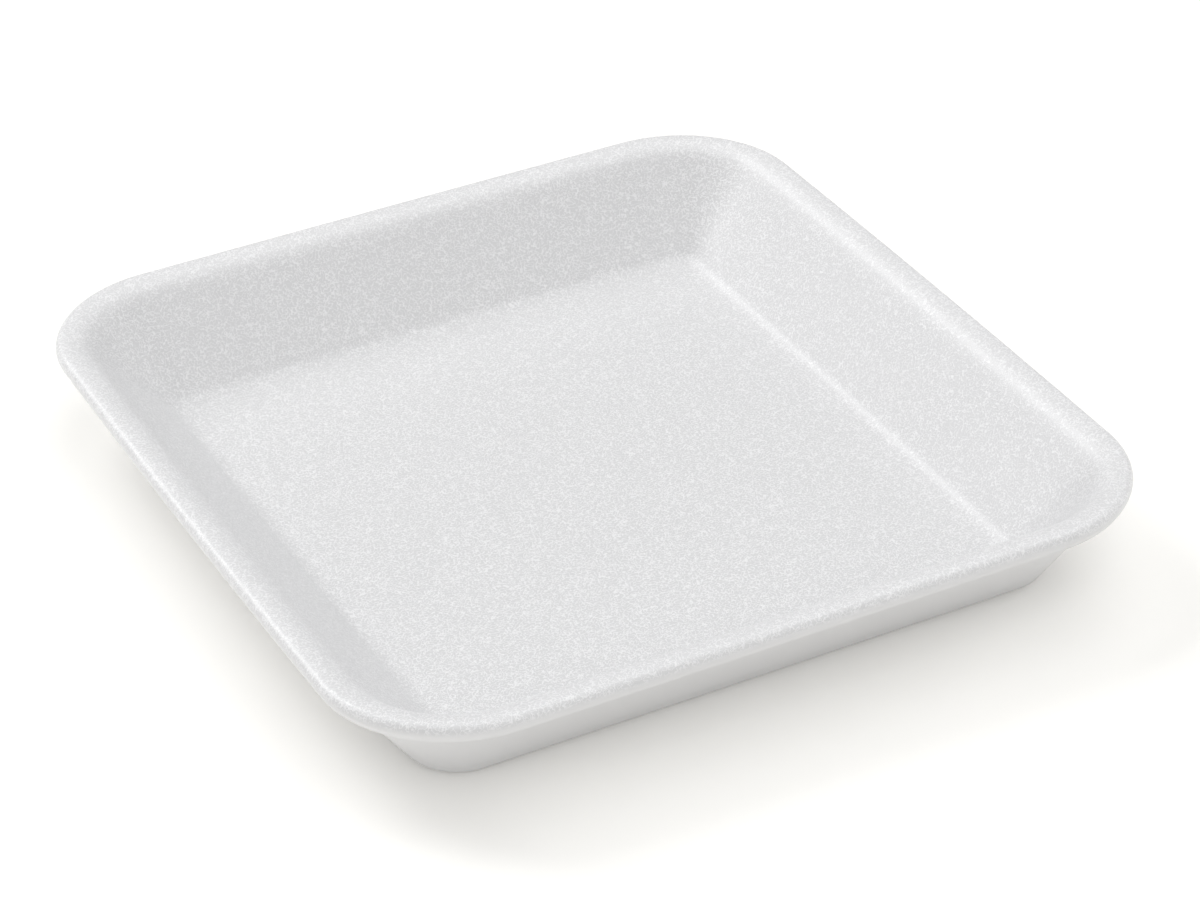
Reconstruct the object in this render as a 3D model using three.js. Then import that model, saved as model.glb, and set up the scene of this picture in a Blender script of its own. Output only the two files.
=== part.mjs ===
// Foam tray: one sheet of white foam, formed into a flat floor, four sloping walls and a rolled rim.
//
// Millimetres, +Z up. The origin is on the resting surface, under the middle of the tray, with the
// longer sides along Y. One cross-section of the sheet is carried round a rounded rectangle: a point of
// it is an inset from the rim's outer line and a height above the resting surface.
import * as THREE from 'three';

// Driving dimensions
const RIM_WIDTH = 200; // across X, between the outer lines of the rim at its corners
const RIM_LENGTH = 215.5; // the same across Y
const RIM_CORNER_RADIUS = 32; // in plan; every ring further in keeps the same corner centres
const LONG_SIDE_BOW = 1.1; // how far the sides along Y swell outwards at mid length
const SHORT_SIDE_BOW = 0.25; // the same for the sides along X
const TRAY_HEIGHT = 27.3; // from the resting surface to the crown of the rim
const FOAM_THICKNESS = 4.2; // of the rim; the walls grow thicker towards their foot
const FLOOR_THICKNESS = 4;
const OUTER_WALL_SLOPE = 55.5; // degrees from level
const INNER_WALL_SLOPE = 46.5;
const CROWN_RADIUS = 7.9; // of the rim's rounded top
const RIM_DROOP = 25.5; // degrees that the rim turns down outwards before its cut edge
const UPPER_EDGE_ROUNDING = 2; // radius where the cut edge meets the crown
const LOWER_EDGE_ROUNDING = 0.8; // radius where the cut edge meets the underside of the rim
const FLOOR_FILLET = 6; // radius between the inside of the walls and the floor
const BASE_FILLET = 3.5; // radius between the outside of the walls and the base

// How finely the round stretches are divided
const CORNER_STEPS = 9;
const SIDE_STEPS = 6;
const DEGREES_PER_STEP = 11; // round the arcs of the cross-section
const ROUNDING_STEPS = 4;

// Angles in the cross-section are degrees from straight up, and grow towards the middle of the tray.
function direction(tilt) {
  const angle = THREE.MathUtils.degToRad(tilt);
  return new THREE.Vector2(Math.sin(angle), Math.cos(angle));
}

function onCircle(centre, radius, tilt) {
  return direction(tilt).multiplyScalar(radius).add(centre);
}

function arc(centre, radius, fromTilt, toTilt, steps) {
  const count = steps ?? Math.ceil(Math.abs(toTilt - fromTilt) / DEGREES_PER_STEP);
  const points = [];
  for (let step = 0; step <= count; step += 1) {
    points.push(onCircle(centre, radius, THREE.MathUtils.lerp(fromTilt, toTilt, step / count)));
  }
  return points;
}

// How far round the crown a rounding of this radius sits, so that it touches the cut edge too.
function roundingAngle(radius, distance) {
  return THREE.MathUtils.radToDeg(Math.asin(radius / distance));
}

// The centre of a fillet that touches a level surface and a wall's line, which starts at wallTop.
function filletCentre(wallTop, slope, radius, level) {
  const normal = direction(slope);
  const height = level + radius;
  const run = (radius - normal.y * (height - wallTop.y)) / normal.x;
  return new THREE.Vector2(wallTop.x + run, height);
}

// The sheet's closed section, from the base, up the outside, over the rim and down to the floor.
function crossSection() {
  const undersideRadius = CROWN_RADIUS - FOAM_THICKNESS;
  const upperDistance = CROWN_RADIUS - UPPER_EDGE_ROUNDING;
  const lowerDistance = undersideRadius + LOWER_EDGE_ROUNDING;
  const upperTilt = roundingAngle(UPPER_EDGE_ROUNDING, upperDistance) - RIM_DROOP;
  const lowerTilt = roundingAngle(LOWER_EDGE_ROUNDING, lowerDistance) - RIM_DROOP;
  const cutEdgeTilt = -RIM_DROOP - 90;

  // The upper rounding is the outermost point of the rim, so it sets the crown's inset.
  const crownInset = UPPER_EDGE_ROUNDING - upperDistance * direction(upperTilt).x;
  const crown = new THREE.Vector2(crownInset, TRAY_HEIGHT - CROWN_RADIUS);
  const upperRounding = onCircle(crown, upperDistance, upperTilt);
  const lowerRounding = onCircle(crown, lowerDistance, lowerTilt);
  const outerWallTop = onCircle(crown, undersideRadius, OUTER_WALL_SLOPE);
  const innerWallTop = onCircle(crown, CROWN_RADIUS, INNER_WALL_SLOPE);
  const baseFillet = filletCentre(outerWallTop, OUTER_WALL_SLOPE, BASE_FILLET, 0);
  const floorFillet = filletCentre(innerWallTop, INNER_WALL_SLOPE, FLOOR_FILLET, FLOOR_THICKNESS);

  return [
    ...arc(baseFillet, BASE_FILLET, 180, 180 + OUTER_WALL_SLOPE),
    ...arc(crown, undersideRadius, OUTER_WALL_SLOPE, lowerTilt),
    ...arc(lowerRounding, LOWER_EDGE_ROUNDING, lowerTilt - 180, cutEdgeTilt, ROUNDING_STEPS).slice(1),
    ...arc(upperRounding, UPPER_EDGE_ROUNDING, cutEdgeTilt, upperTilt, ROUNDING_STEPS),
    ...arc(crown, CROWN_RADIUS, upperTilt, 0).slice(1),
    ...arc(crown, CROWN_RADIUS, 0, INNER_WALL_SLOPE).slice(1),
    ...arc(floorFillet, FLOOR_FILLET, 180 + INNER_WALL_SLOPE, 180),
  ];
}

// The long and the short sides swell a little in their middles.
function bowed(x, y) {
  const acrossX = 1 - (2 * y / RIM_LENGTH) ** 2;
  const acrossY = 1 - (2 * x / RIM_WIDTH) ** 2;
  return new THREE.Vector2(
    x * (1 + (2 * LONG_SIDE_BOW / RIM_WIDTH) * acrossX),
    y * (1 + (2 * SHORT_SIDE_BOW / RIM_LENGTH) * acrossY),
  );
}

// The rounded rectangle at one inset, anticlockwise from the middle of the +X side.
function planOutline(inset) {
  const radius = RIM_CORNER_RADIUS - inset;
  const straightX = RIM_WIDTH / 2 - RIM_CORNER_RADIUS; // half lengths of the straight stretches
  const straightY = RIM_LENGTH / 2 - RIM_CORNER_RADIUS;
  const quarter = [];
  for (let step = 0; step < SIDE_STEPS / 2; step += 1) {
    quarter.push([straightX + radius, straightY * (step / (SIDE_STEPS / 2))]);
  }
  for (let step = 0; step <= CORNER_STEPS; step += 1) {
    const angle = (Math.PI / 2) * (step / CORNER_STEPS);
    quarter.push([straightX + radius * Math.cos(angle), straightY + radius * Math.sin(angle)]);
  }
  for (let step = SIDE_STEPS / 2 - 1; step > 0; step -= 1) {
    quarter.push([straightX * (step / (SIDE_STEPS / 2)), straightY + radius]);
  }
  const mirrored = quarter.slice(1).reverse().map(([x, y]) => [-x, y]);
  const half = [...quarter, [0, straightY + radius], ...mirrored];
  const otherHalf = half.map(([x, y]) => [-x, -y]);
  return [...half, ...otherHalf].map(([x, y]) => bowed(x, y));
}

// Triangles across a ring that is alike on both sides of the Y axis, facing up or down.
function capTriangles(ringSize, firstVertex, facesUp) {
  const half = ringSize / 2;
  const triangles = [];
  const add = (a, b, c) => triangles.push(facesUp ? [a, b, c] : [a, c, b]);
  const vertex = (index) => firstVertex + ((index + ringSize) % ringSize);
  // Rungs join the vertex that is some steps from the +X end to its mirror image near the -X end.
  for (let rung = -half / 2; rung < half / 2; rung += 1) {
    const right = vertex(rung);
    const nextRight = vertex(rung + 1);
    const left = vertex(half - rung);
    const nextLeft = vertex(half - rung - 1);
    if (right !== left) add(right, nextRight, left);
    if (nextRight !== nextLeft) add(nextRight, nextLeft, left);
  }
  return triangles;
}

function trayGeometry() {
  const rings = crossSection().map(({ x: inset, y: height }) => (
    planOutline(inset).map((point) => [point.x, point.y, height])
  ));
  const ringSize = rings[0].length;
  const triangles = capTriangles(ringSize, 0, false);
  for (let ring = 0; ring < rings.length - 1; ring += 1) {
    for (let side = 0; side < ringSize; side += 1) {
      const a = ring * ringSize + side;
      const b = ring * ringSize + ((side + 1) % ringSize);
      triangles.push([a, b, b + ringSize], [a, b + ringSize, a + ringSize]);
    }
  }
  triangles.push(...capTriangles(ringSize, (rings.length - 1) * ringSize, true));

  const geometry = new THREE.BufferGeometry();
  geometry.setAttribute('position', new THREE.Float32BufferAttribute(rings.flat(2), 3));
  geometry.setIndex(triangles.flat());
  geometry.computeVertexNormals();
  return geometry;
}

function trayMesh() {
  const whiteFoam = new THREE.MeshStandardMaterial({ color: 0xf0f1f2, roughness: 0.55, metalness: 0 });
  const tray = new THREE.Mesh(trayGeometry(), whiteFoam);
  tray.name = 'tray';
  return tray;
}

const foamTray = new THREE.Group();
foamTray.name = 'foam_tray';
foamTray.add(trayMesh());

export default foamTray;
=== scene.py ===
"""Foam tray: the looks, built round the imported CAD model.

The tray is one sheet of white expanded polystyrene, formed into a flat floor, four sloping walls
and a rolled rim. Its section is drawn once, swept round one corner, run along two half sides and
mirrored twice. Lengths are metres, +Z is up, and the longer sides lie along Y.
"""

import math

import bmesh
import bpy
from mathutils import Matrix, Vector, noise


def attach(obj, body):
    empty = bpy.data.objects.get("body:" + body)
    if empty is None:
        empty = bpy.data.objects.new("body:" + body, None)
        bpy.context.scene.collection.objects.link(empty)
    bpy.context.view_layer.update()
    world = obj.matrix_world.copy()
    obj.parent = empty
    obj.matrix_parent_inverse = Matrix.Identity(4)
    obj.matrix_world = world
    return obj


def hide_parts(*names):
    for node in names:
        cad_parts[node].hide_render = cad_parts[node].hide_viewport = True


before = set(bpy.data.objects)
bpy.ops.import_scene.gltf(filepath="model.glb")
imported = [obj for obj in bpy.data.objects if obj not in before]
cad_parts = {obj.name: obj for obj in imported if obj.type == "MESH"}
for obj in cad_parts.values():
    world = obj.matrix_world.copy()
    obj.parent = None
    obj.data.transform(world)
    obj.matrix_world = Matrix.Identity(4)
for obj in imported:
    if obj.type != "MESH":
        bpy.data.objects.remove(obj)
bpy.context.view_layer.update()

MM = 0.001

# The tray's sizes, the same as the CAD model's. Slopes are degrees from level.
RIM_WIDTH = 200 * MM
RIM_LENGTH = 215.5 * MM
RIM_CORNER_RADIUS = 32 * MM
LONG_SIDE_BOW = 1.1 * MM
SHORT_SIDE_BOW = 0.25 * MM
TRAY_HEIGHT = 27.3 * MM
FOAM_THICKNESS = 4.2 * MM
FLOOR_THICKNESS = 4 * MM
OUTER_WALL_SLOPE = 55.5
INNER_WALL_SLOPE = 46.5
CROWN_RADIUS = 7.9 * MM
RIM_DROOP = 25.5
UPPER_EDGE_ROUNDING = 2 * MM
LOWER_EDGE_ROUNDING = 0.8 * MM
FLOOR_FILLET = 6 * MM
BASE_FILLET = 3.5 * MM

# How finely the sheet is divided, so that its round stretches look round and its faces can carry
# the gentle unevenness of formed foam
CORNER_STEPS = 24
SIDE_STEPS = 34
DEGREES_PER_STEP = 3.5
WALL_STEPS = 10
CUT_EDGE_STEPS = 2
LEVEL_STEPS = 2  # from a fillet to the corner's centre
SAME_PLACE = 0.001 * MM  # points nearer than this are one point

# The formed sheet is never quite flat: it sinks by up to this much between its high places
UNEVENNESS = 0.06 * MM
UNEVENNESS_SPACING = 11 * MM

# The fine raised lines of the foam's skin run between its cells and wind a little. They are a
# touch coarser than the real ones, so that they show at the size of the picture.
CELL_SIZE = 0.87 * MM
LINE_WINDING = 0.9 * MM
WINDING_SPACING = 2.2 * MM
LINE_HEIGHT = 0.1 * MM
LINE_WIDTH = 0.08  # as a step of the noise's value, away from its middle
LINE_SHARE = 0.35  # about how much of the skin is line, and so the smooth outside's shade too

# Painted light: the top of the rim is painted lighter between these heights
RIM_PAINTED_LIGHT_FROM = 22.5 * MM
RIM_PAINTED_LIGHT_FULL = 26.5 * MM

FLOOR_REACH = 3  # metres, from the floor's middle to its edges
SOFTBOX_DISTANCE = 1.6  # metres, from the tray's middle

# Where the camera stands: turned from the Y axis, tipped down and leaned, at this distance, and
# aimed a little beside the tray's middle
CAMERA_TURN = 26.262
CAMERA_TIP = 32.621
CAMERA_LEAN = -2.086
CAMERA_DISTANCE = 946.5 * MM
CAMERA_ASIDE = Vector((4.888, 10.101, 0)) * MM
CAMERA_LENS = 118.16
CAMERA_SENSOR = 36

SECTION_AXIS = (0, -1, 0)  # turning about it leans a line from upright towards the tray's middle
CORNER_CENTRE = Vector((RIM_WIDTH / 2 - RIM_CORNER_RADIUS, RIM_LENGTH / 2 - RIM_CORNER_RADIUS, 0))


def linear(hex_colour):
    """An sRGB hex colour as the linear RGBA that a shader takes."""
    channels = [int(hex_colour[i : i + 2], 16) / 255 for i in (0, 2, 4)]
    return [c / 12.92 if c <= 0.04045 else ((c + 0.055) / 1.055) ** 2.4 for c in channels] + [1]


def direction(tilt):
    """The way that a tilt points in the section: degrees from upright, towards the middle."""
    return Vector((-math.sin(math.radians(tilt)), 0, math.cos(math.radians(tilt))))


def swing(sheet, vertex, centre, from_tilt, to_tilt):
    """Draws a round stretch of the section: the vertex swings about a centre."""
    turn = to_tilt - from_tilt
    swung = bmesh.ops.spin(
        sheet,
        geom=[vertex],
        cent=centre,
        axis=SECTION_AXIS,
        angle=math.radians(turn),
        steps=math.ceil(abs(turn) / DEGREES_PER_STEP),
    )
    return next(v for v in swung["geom_last"] if isinstance(v, bmesh.types.BMVert))


def draw_straight(sheet, vertex, end, steps):
    """Draws a straight stretch of the section, from the vertex to a point."""
    stride = (end - vertex.co) / steps
    for _ in range(steps):
        vertex = bmesh.ops.extrude_vert_indiv(sheet, verts=[vertex])["verts"][0]
        vertex.co += stride
    return vertex


def rounding_angle(radius, distance):
    """How far round the crown a rounding of this radius sits, so that it touches the cut edge."""
    return math.degrees(math.asin(radius / distance))


def fillet_centre(wall_point, slope, radius, level):
    """The centre of a fillet that touches a level and a wall's line through a point."""
    normal = direction(slope)
    rise = level + radius - wall_point.z
    x = wall_point.x + (radius - normal.z * rise) / normal.x
    return Vector((x, wall_point.y, level + radius))


def draw_section(sheet):
    """Draws the sheet's section where the corner begins, from the corner's centre on the base, over
    the rim, and back to the corner's centre on the floor."""
    underside_radius = CROWN_RADIUS - FOAM_THICKNESS
    upper_distance = CROWN_RADIUS - UPPER_EDGE_ROUNDING
    lower_distance = underside_radius + LOWER_EDGE_ROUNDING
    upper_tilt = rounding_angle(UPPER_EDGE_ROUNDING, upper_distance) - RIM_DROOP
    lower_tilt = rounding_angle(LOWER_EDGE_ROUNDING, lower_distance) - RIM_DROOP
    cut_edge_tilt = -RIM_DROOP - 90

    # The upper rounding is the rim's outermost part, so it sets where the crown's centre is
    rim_line = Vector((RIM_WIDTH / 2, CORNER_CENTRE.y, TRAY_HEIGHT - CROWN_RADIUS))
    reach = upper_distance * direction(upper_tilt).x + UPPER_EDGE_ROUNDING
    crown = rim_line - Vector((reach, 0, 0))
    upper_rounding = crown + upper_distance * direction(upper_tilt)
    lower_rounding = crown + lower_distance * direction(lower_tilt)
    outer_wall_top = crown + underside_radius * direction(OUTER_WALL_SLOPE)
    inner_wall_top = crown + CROWN_RADIUS * direction(INNER_WALL_SLOPE)
    base_fillet = fillet_centre(outer_wall_top, OUTER_WALL_SLOPE, BASE_FILLET, 0)
    floor_fillet = fillet_centre(inner_wall_top, INNER_WALL_SLOPE, FLOOR_FILLET, FLOOR_THICKNESS)
    inner_wall_foot = floor_fillet - FLOOR_FILLET * direction(INNER_WALL_SLOPE)
    cut_edge_top = upper_rounding + UPPER_EDGE_ROUNDING * direction(cut_edge_tilt)

    start = sheet.verts.new(CORNER_CENTRE)
    end = draw_straight(sheet, start, base_fillet + BASE_FILLET * direction(180), LEVEL_STEPS)
    end = swing(sheet, end, base_fillet, 180, 180 + OUTER_WALL_SLOPE)
    end = draw_straight(sheet, end, outer_wall_top, WALL_STEPS)
    end = swing(sheet, end, crown, OUTER_WALL_SLOPE, lower_tilt)
    end = swing(sheet, end, lower_rounding, lower_tilt - 180, cut_edge_tilt)
    end = draw_straight(sheet, end, cut_edge_top, CUT_EDGE_STEPS)
    end = swing(sheet, end, upper_rounding, cut_edge_tilt, upper_tilt)
    end = swing(sheet, end, crown, upper_tilt, INNER_WALL_SLOPE)
    end = draw_straight(sheet, end, inner_wall_foot, WALL_STEPS)
    end = swing(sheet, end, floor_fillet, 180 + INNER_WALL_SLOPE, 180)
    draw_straight(sheet, end, CORNER_CENTRE + Vector((0, 0, FLOOR_THICKNESS)), LEVEL_STEPS)


def run_straight(sheet, edges, length):
    """Runs edges straight along a length, as faces."""
    ends = {v for e in edges for v in e.verts}
    bmesh.ops.spin(
        sheet,
        geom=[*ends, *edges],
        cent=(0, 0, 0),
        dvec=length / SIDE_STEPS,
        angle=0,
        steps=SIDE_STEPS,
    )


def edges_of(geometry):
    return [e for e in geometry if isinstance(e, bmesh.types.BMEdge)]


def along_middle(edge):
    """Whether an edge lies on the line where the level middle of the floor or base begins."""
    return all(
        abs(v.co.x - CORNER_CENTRE.x) < SAME_PLACE and v.co.y < CORNER_CENTRE.y + SAME_PLACE
        for v in edge.verts
    )


def bow_sides(sheet):
    """The sides swell a little in their middles."""
    for vertex in sheet.verts:
        x, y = vertex.co.x, vertex.co.y
        vertex.co.x = x * (1 + 2 * LONG_SIDE_BOW / RIM_WIDTH * (1 - (2 * y / RIM_LENGTH) ** 2))
        vertex.co.y = y * (1 + 2 * SHORT_SIDE_BOW / RIM_LENGTH * (1 - (2 * x / RIM_WIDTH) ** 2))


def make_uneven(sheet):
    """What faces up sinks and rises a little, and only it shows the foam's cells: in full up to a
    slope of 60 degrees, and fading out beyond."""
    cell_relief = sheet.verts.layers.float.new("cell_relief")
    sheet.normal_update()
    sinks = []
    for vertex in sheet.verts:
        faces_up = max(vertex.normal.z, 0)
        wave = 0.5 + 0.5 * noise.noise(vertex.co / UNEVENNESS_SPACING)
        sinks.append(-vertex.normal * faces_up * wave * UNEVENNESS)
        # The same share sets where the skin lines' painted glints and painted shade show, and where
        # the painted light on the rim's top falls
        vertex[cell_relief] = min(2 * faces_up, 1)
    for vertex, sink in zip(sheet.verts, sinks):
        vertex.co += sink


def add_object(name, sheet):
    """Puts a finished bmesh into the scene, as an object of this name."""
    mesh = bpy.data.meshes.new(name)
    sheet.to_mesh(mesh)
    sheet.free()
    made = bpy.data.objects.new(name, mesh)
    bpy.context.scene.collection.objects.link(made)
    return made


def make_tray():
    """The whole tray as one closed mesh."""
    sheet = bmesh.new()
    draw_section(sheet)
    section = [*sheet.edges]
    corner = bmesh.ops.spin(
        sheet,
        geom=[*sheet.verts, *section],
        cent=CORNER_CENTRE,
        axis=(0, 0, 1),
        angle=math.pi / 2,
        steps=CORNER_STEPS,
    )
    to_middle_x = Vector((-CORNER_CENTRE.x, 0, 0))
    to_middle_y = Vector((0, -CORNER_CENTRE.y, 0))
    run_straight(sheet, section, to_middle_y)
    run_straight(sheet, edges_of(corner["geom_last"]), to_middle_x)
    run_straight(sheet, [e for e in sheet.edges if along_middle(e)], to_middle_x)
    for axis in ("X", "Y"):
        made = [*sheet.verts, *sheet.edges, *sheet.faces]
        bmesh.ops.mirror(sheet, geom=made, merge_dist=SAME_PLACE, axis=axis)
    bmesh.ops.remove_doubles(sheet, verts=sheet.verts, dist=SAME_PLACE)
    bmesh.ops.recalc_face_normals(sheet, faces=sheet.faces)
    bow_sides(sheet)
    make_uneven(sheet)
    tray = add_object("foam_tray", sheet)
    tray.data.shade_smooth()
    return tray


def add(material, kind, inputs=None, **settings):
    """Adds a node with its settings, and sets or links its inputs."""
    made = material.node_tree.nodes.new(kind)
    for name, value in settings.items():
        setattr(made, name, value)
    for name, value in (inputs or {}).items():
        if isinstance(value, bpy.types.NodeSocket):
            material.node_tree.links.new(value, made.inputs[name])
        else:
            made.inputs[name].default_value = value
    return made


def new_material(name):
    """An empty node material."""
    material = bpy.data.materials.new(name)
    material.use_nodes = True
    material.node_tree.nodes.clear()
    return material


def add_skin_lines(foam, place, relief):
    """Winding lines along the middle values of a fine noise: 1 on a line, 0 between the lines, and
    the even share of both where the relief is 0."""
    winding = add(
        foam, "ShaderNodeTexNoise", {"Vector": place, "Scale": 1 / WINDING_SPACING, "Detail": 1}
    )
    wound = add(
        foam,
        "ShaderNodeVectorMath",
        {0: winding.outputs["Color"], 1: [LINE_WINDING] * 3, 2: place},
        operation="MULTIPLY_ADD",
    )
    cells = add(
        foam,
        "ShaderNodeTexNoise",
        {"Vector": wound.outputs["Vector"], "Scale": 1 / CELL_SIZE, "Detail": 1, "Roughness": 0.5},
    )
    off_middle = add(
        foam, "ShaderNodeMath", {0: cells.outputs["Fac"], 1: 0.5}, operation="SUBTRACT"
    )
    distance = add(foam, "ShaderNodeMath", {0: off_middle.outputs[0]}, operation="ABSOLUTE")
    lines = add(
        foam,
        "ShaderNodeMapRange",
        {
            "Value": distance.outputs[0],
            "From Min": 0,
            "From Max": LINE_WIDTH,
            "To Min": 1 - LINE_SHARE,
            "To Max": -LINE_SHARE,
        },
        interpolation_type="SMOOTHSTEP",
    )
    line_relief_and_painted_glints = add(
        foam,
        "ShaderNodeMath",
        {0: lines.outputs["Result"], 1: relief, 2: LINE_SHARE},
        operation="MULTIPLY_ADD",
    )
    return line_relief_and_painted_glints.outputs[0]


def expanded_polystyrene():
    """White expanded polystyrene sheet, thermoformed.

    The skin of its flattened cells gives a satin surface of fine, winding, slightly raised lines
    well under a millimetre apart. They catch the light through their relief, and their colour adds
    painted glints: the lines are painted lighter, and the hollows between them darker, as painted
    shade. The top of the rim gets painted light, a lighter colour there, and the outside of the
    tray is pressed smooth.
    """
    foam = new_material("expanded_polystyrene")
    place = add(foam, "ShaderNodeTexCoord").outputs["Object"]
    relief = add(foam, "ShaderNodeAttribute", attribute_name="cell_relief").outputs["Fac"]
    line_relief_and_painted_glints = add_skin_lines(foam, place, relief)
    # Painted glints and painted shade: the lines get the lighter colour eeeeef and the hollows
    # between them the darker d6d6d7, as strongly as the cell relief lets them show
    colour = add(
        foam,
        "ShaderNodeMix",
        {"Factor": line_relief_and_painted_glints, "A": linear("d6d6d7"), "B": linear("eeeeef")},
        data_type="RGBA",
    )
    # Painted light on the top of the rim: up-facing faces between these heights get 3f3f3f added to
    # their colour
    height = add(foam, "ShaderNodeSeparateXYZ", {"Vector": place}).outputs["Z"]
    crown = add(
        foam,
        "ShaderNodeMapRange",
        {
            "Value": height,
            "From Min": RIM_PAINTED_LIGHT_FROM,
            "From Max": RIM_PAINTED_LIGHT_FULL,
            "To Max": relief,
        },
        interpolation_type="SMOOTHSTEP",
    )
    colour_with_painted_rim_light = add(
        foam,
        "ShaderNodeMix",
        {
            "Factor": crown.outputs["Result"],
            "A": colour.outputs["Result"],
            "B": linear("3f3f3f"),
        },
        data_type="RGBA",
        blend_type="ADD",
    )
    bump = add(
        foam, "ShaderNodeBump", {"Strength": 0.4, "Distance": LINE_HEIGHT, "Height": line_relief_and_painted_glints}
    )
    skin = add(
        foam,
        "ShaderNodeBsdfPrincipled",
        {
            "Base Color": colour_with_painted_rim_light.outputs["Result"],
            "Roughness": 0.5,
            "IOR": 1.59,
            "Coat Weight": 0.6,
            "Coat Roughness": 0.34,
            "Normal": bump.outputs["Normal"],
            "Coat Normal": bump.outputs["Normal"],
        },
    )
    add(foam, "ShaderNodeOutputMaterial", {"Surface": skin.outputs["BSDF"]})
    return foam


def white_board():
    """Matt white board that glows faintly, just enough to soften the shadows on it."""
    board = new_material("white_board")
    white = linear("fefdfa")
    surface = add(
        board,
        "ShaderNodeBsdfPrincipled",
        {
            "Base Color": white,
            "Roughness": 0.9,
            "Emission Color": white,
            "Emission Strength": 0.09,
        },
    )
    add(board, "ShaderNodeOutputMaterial", {"Surface": surface.outputs["BSDF"]})
    return board


def make_floor():
    """The pale floor that the tray stands on."""
    board = bmesh.new()
    bmesh.ops.create_grid(board, x_segments=1, y_segments=1, size=FLOOR_REACH)
    floor = add_object("floor", board)
    floor.data.materials.append(white_board())
    return floor


def add_softbox(name, turn, height, width, power):
    """A square soft light that faces the tray, turned from the +Y side towards +X."""
    light = bpy.data.lights.new(name, "AREA")
    light.shape = "SQUARE"
    light.size = width
    light.energy = power
    softbox = bpy.data.objects.new(name, light)
    turned = Matrix.Rotation(math.radians(-turn), 4, "Z")
    lifted = turned @ Matrix.Rotation(math.radians(height), 4, "X")
    softbox.location = lifted @ Vector((0, SOFTBOX_DISTANCE, 0))
    softbox.rotation_euler = (-softbox.location).to_track_quat("-Z", "Y").to_euler()
    bpy.context.scene.collection.objects.link(softbox)


def light_room(brightness):
    """Even light from all round, as from a white studio."""
    world = bpy.data.worlds.new("studio")
    world.use_nodes = True
    background = world.node_tree.nodes["Background"]
    background.inputs["Color"].default_value = linear("ffffff")
    background.inputs["Strength"].default_value = brightness
    bpy.context.scene.world = world


def add_camera():
    """The camera, at the photograph's angle."""
    lens = bpy.data.cameras.new("camera")
    lens.sensor_width = CAMERA_SENSOR
    lens.lens = CAMERA_LENS
    camera = bpy.data.objects.new("camera", lens)
    turned = Matrix.Rotation(math.radians(-CAMERA_TURN), 4, "Z")
    tipped = turned @ Matrix.Rotation(math.radians(90 - CAMERA_TIP), 4, "X")
    leaned = tipped @ Matrix.Rotation(math.radians(CAMERA_LEAN), 4, "Z")
    back = Matrix.Translation(CAMERA_ASIDE + Vector((0, 0, CAMERA_DISTANCE)))
    camera.matrix_world = leaned @ back
    bpy.context.scene.collection.objects.link(camera)
    bpy.context.scene.camera = camera


tray = make_tray()
tray.data.materials.append(expanded_polystyrene())
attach(tray, "root")
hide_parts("tray")
make_floor()

light_room(0.235)
add_softbox("key_softbox", turn=-27, height=42, width=0.8, power=12.3)
add_softbox("overhead_softbox", turn=80, height=70, width=1.6, power=11)
add_softbox("front_softbox", turn=180, height=46, width=1.3, power=7.5)
add_softbox("left_softbox", turn=-100, height=22, width=0.9, power=2.9)
add_softbox("right_softbox", turn=90, height=20, width=0.8, power=2.9)
add_camera()
bpy.context.scene.view_settings.view_transform = "Standard"
